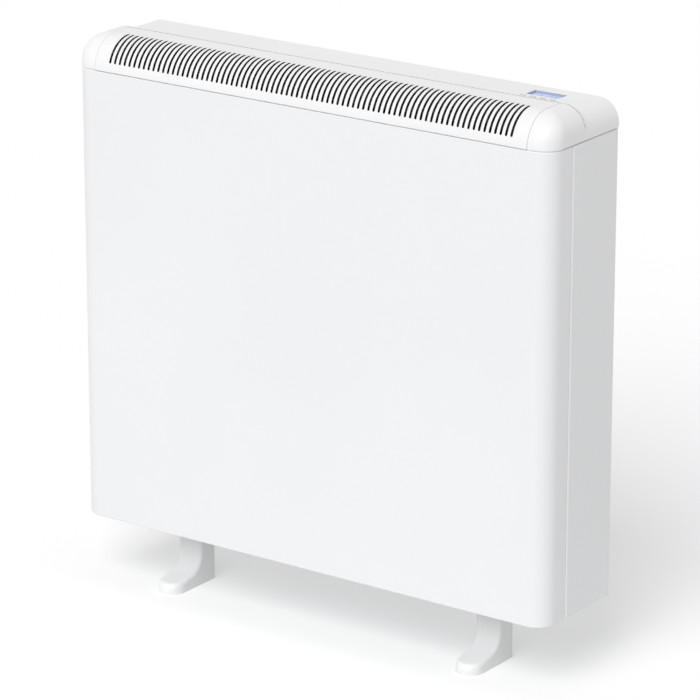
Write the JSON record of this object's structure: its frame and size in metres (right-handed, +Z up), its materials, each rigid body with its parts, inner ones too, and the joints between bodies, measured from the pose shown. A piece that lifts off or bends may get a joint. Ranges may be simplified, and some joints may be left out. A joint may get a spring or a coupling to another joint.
{
  "type": "storage heater",
  "caption": "Slim electric storage heater: steel casing on boot-shaped feet, top cover with a slotted warm air outlet, small display and sprung push buttons.",
  "frame": {"origin": "on the floor, below the middle of the casing", "axes": "+Z up, -Y out of the front panel, +X to the right as seen from the front"},
  "size_m": [0.716, 0.148, 0.73],
  "materials": {
    "panel_white": "fine satin powder coat",
    "galvanised": "plain galvanised sheet",
    "cover_white": "satin moulded",
    "foot_white": "satin moulded",
    "zinc_screw": "zinc plated",
    "lens": "clear polished",
    "display": "backlit panel",
    "button_grey": "satin moulded",
    "silicone": "matt",
    "board_green": "solder mask",
    "ribbon": "flexible",
    "gland_black": "moulded",
    "moulding_cream": "moulded",
    "insulation": "microporous board",
    "brick": "fired, matt",
    "sheath": "dull alloy sheath",
    "ceramic": "glazed",
    "lead_sleeve": "woven sleeve",
    "phenolic": "moulded",
    "brass": "plain"
  },
  "bodies": {
    "casing": {"front_panel": "panel_white", "left_side_panel": "panel_white", "right_side_panel": "panel_white", "rear_panel": "galvanised", "base_tray": "galvanised", "chassis_rails": "galvanised", "core_tray": "galvanised", "core_front_cover": "galvanised", "core_top_cover": "galvanised", "core_left_wall": "galvanised", "core_right_wall": "galvanised", "core_rear_wall": "galvanised", "electronics_plate": "galvanised", "top_cover": "cover_white", "outlet_grille": "cover_white", "left_foot": "foot_white", "right_foot": "foot_white", "foot_screws": "zinc_screw", "front_panel_screws": "zinc_screw", "rear_panel_screws": "zinc_screw", "cover_screws": "zinc_screw", "board_screws": "zinc_screw", "core_cover_screws": "zinc_screw", "display_lens": "lens", "display_module": "display", "keypad_mat": "silicone", "control_board": "board_green", "power_board": "board_green", "ribbon_cable": "ribbon", "cable_gland": "gland_black", "cord_clamp": "moulding_cream", "terminal_block": "moulding_cream", "connector_strip": "moulding_cream", "room_sensor": "moulding_cream", "board_pillars": "moulding_cream", "base_insulation": "insulation", "rear_insulation": "insulation", "front_insulation": "insulation", "left_insulation": "insulation", "right_insulation": "insulation", "top_insulation": "insulation", "front_bricks": "brick", "rear_bricks": "brick", "upper_element": "sheath", "middle_element": "sheath", "lower_element": "sheath", "boost_element": "sheath", "core_probe": "sheath", "element_bushes": "ceramic", "element_leads": "lead_sleeve", "core_cutout": "phenolic", "room_cutout": "phenolic", "earth_stud": "brass"},
    "mode_button": {"mode_button": "button_grey"},
    "minus_button": {"minus_button": "button_grey"},
    "plus_button": {"plus_button": "button_grey"},
    "enter_button": {"enter_button": "button_grey"}
  },
  "joints": [
    {"name": "mode_press", "type": "slide", "parent": "casing", "child": "mode_button", "axis": [0, 0, -1], "range_m": [0, 0.0008], "stiffness_N_per_m": 600},
    {"name": "minus_press", "type": "slide", "parent": "casing", "child": "minus_button", "axis": [0, 0, -1], "range_m": [0, 0.0008], "stiffness_N_per_m": 600},
    {"name": "plus_press", "type": "slide", "parent": "casing", "child": "plus_button", "axis": [0, 0, -1], "range_m": [0, 0.0008], "stiffness_N_per_m": 600},
    {"name": "enter_press", "type": "slide", "parent": "casing", "child": "enter_button", "axis": [0, 0, -1], "range_m": [0, 0.0008], "stiffness_N_per_m": 600}
  ]
}
